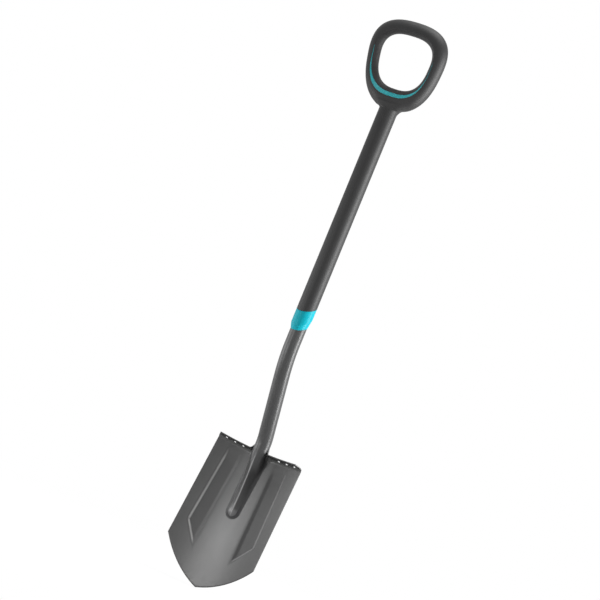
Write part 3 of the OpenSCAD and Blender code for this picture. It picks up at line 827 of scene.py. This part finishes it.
def white_rays(tree):
    """1 for camera, mirrored and transmitted rays, 0 for the rays that only light a surface."""
    path = tree.tree.nodes.new("ShaderNodeLightPath")
    seen = Wire(tree, path.outputs["Is Camera Ray"])
    mirrored = Wire(tree, path.outputs["Is Glossy Ray"])
    passed = Wire(tree, path.outputs["Is Transmission Ray"])
    return tree.node("ShaderNodeClamp", {}, {"Value": seen + mirrored + passed})


floor_material = bpy.data.materials.new("studio_floor")
floor_material.use_nodes = True
floor_tree = Tree(floor_material.node_tree)
floor_tree.tree.nodes.clear()
floor_place = floor_tree.node("ShaderNodeTexCoord", output="Object")
from_foot = floor_tree.node("ShaderNodeVectorMath", {"operation": "LENGTH"}, {0: floor_place}, "Value")
far_share = floor_tree.node("ShaderNodeMapRange", {"interpolation_type": "SMOOTHSTEP"}, {
    "Value": from_foot, "From Min": 0.0, "From Max": plain_reach, "To Min": foot_white, "To Max": 1.0})
plain = floor_tree.node("ShaderNodeBsdfDiffuse", {}, {"Color": (0.9, 0.9, 0.9, 1)})
white = floor_tree.node("ShaderNodeEmission", {}, {"Color": (1, 1, 1, 1), "Strength": 1.0})
whiteness = white_rays(floor_tree) * far_share
mixed = floor_tree.node("ShaderNodeMixShader", {}, {0: whiteness, 1: plain, 2: white})
floor_tree.node("ShaderNodeOutputMaterial", {}, {"Surface": mixed})
floor_mesh.materials.append(floor_material)

world = bpy.data.worlds.new("studio")
world.use_nodes = True
bpy.context.scene.world = world
world_tree = Tree(world.node_tree)
world_tree.tree.nodes.clear()
ambient = 0.45
surround = world_tree.node("ShaderNodeBackground", {}, {
    "Color": (1, 1, 1, 1), "Strength": ambient + (1 - ambient) * white_rays(world_tree)})
world_tree.node("ShaderNodeOutputWorld", {}, {"Surface": surround})


# Lamps
# Soft boxes as in a product studio: two beside the shaft at the right, a low one at the left, one in front
# of the blade and one overhead. A dark card at the right shades the finger. The camera sees none of them.


def soft_box(name, place, aim, width, height, power):
    """An area lamp in metres and watts that faces the aim, its height upright."""
    data = bpy.data.lights.new(name, "AREA")
    data.shape = "RECTANGLE"
    data.size, data.size_y = width, height
    data.energy = power
    lamp = bpy.data.objects.new(name, data)
    lamp.location = place
    lamp.rotation_euler = (Vector(aim) - Vector(place)).to_track_quat("-Z", "Y").to_euler()
    lamp.visible_camera = False
    bpy.context.scene.collection.objects.link(lamp)


soft_box("right_high", (0.82, 0.14, 0.92), (0, 0, 0.90), 0.35, 0.65, 12.0)
soft_box("right_low", (0.80, 0.22, 0.34), (0, 0, 0.34), 0.25, 0.5, 8.0)
soft_box("left_low", (-0.88, -0.30, 0.36), (0, 0, 0.25), 0.5, 0.5, 4.0)
soft_box("low_front", (-0.52, -1.05, 0.37), (0, 0.02, 0.15), 0.27, 0.28, 3.7)
soft_box("top", (0.1, -0.1, 1.9), (0, 0, 1.1), 0.6, 0.6, 6.3)

card_mesh = bpy.data.meshes.new("dark_card")
card_corners = [(0.72, -0.40, 0.15), (0.72, 0.10, 0.15), (0.72, 0.10, 0.60), (0.72, -0.40, 0.60)]
card_mesh.from_pydata(card_corners, [], [(0, 1, 2, 3)])
card_material = bpy.data.materials.new("dark_card")
card_material.use_nodes = True
card_shader = card_material.node_tree.nodes["Principled BSDF"]
card_shader.inputs["Base Color"].default_value = (0.005, 0.005, 0.005, 1)
card_shader.inputs["Specular IOR Level"].default_value = 0
card_mesh.materials.append(card_material)
card = bpy.data.objects.new("dark_card", card_mesh)
card.visible_camera = False
bpy.context.scene.collection.objects.link(card)


# Camera
# At the photograph's view: 3.2 m away, 25 degrees round to the right, looking up by 2 degrees, and rolled
# so that the spade leans to the right.

view_turn, view_rise, view_roll = math.radians(25), math.radians(-2.13), math.radians(22.37)
pixel, image_side, sensor, distance = 1.925, 600, 36.0, 3200.0
# A height on the shaft's axis, and the picture's middle from there in pixels to the right and up
aim_z, aim_right, aim_up = 775.46, -9.65, -99.1
right = Vector((math.cos(view_turn), math.sin(view_turn), 0))
toward = Vector((math.sin(view_turn) * math.cos(view_rise), -math.cos(view_turn) * math.cos(view_rise),
                 math.sin(view_rise)))
up = toward.cross(right)
centre = Vector((0, shaft_y, aim_z)) + pixel * (aim_right * right + aim_up * up)
side_axis = right * math.cos(view_roll) + up * math.sin(view_roll)
top_axis = up * math.cos(view_roll) - right * math.sin(view_roll)
camera_data = bpy.data.cameras.new("camera")
camera_data.sensor_width = sensor
camera_data.lens = sensor * distance / (image_side * pixel)
camera_data.clip_end = 100
camera = bpy.data.objects.new("camera", camera_data)
eye = (centre + toward * distance) * MM
camera.matrix_world = Matrix.Translation(eye) @ Matrix((side_axis, top_axis, toward)).transposed().to_4x4()
bpy.context.scene.collection.objects.link(camera)
bpy.context.scene.camera = camera
bpy.context.scene.view_settings.view_transform = "Standard"
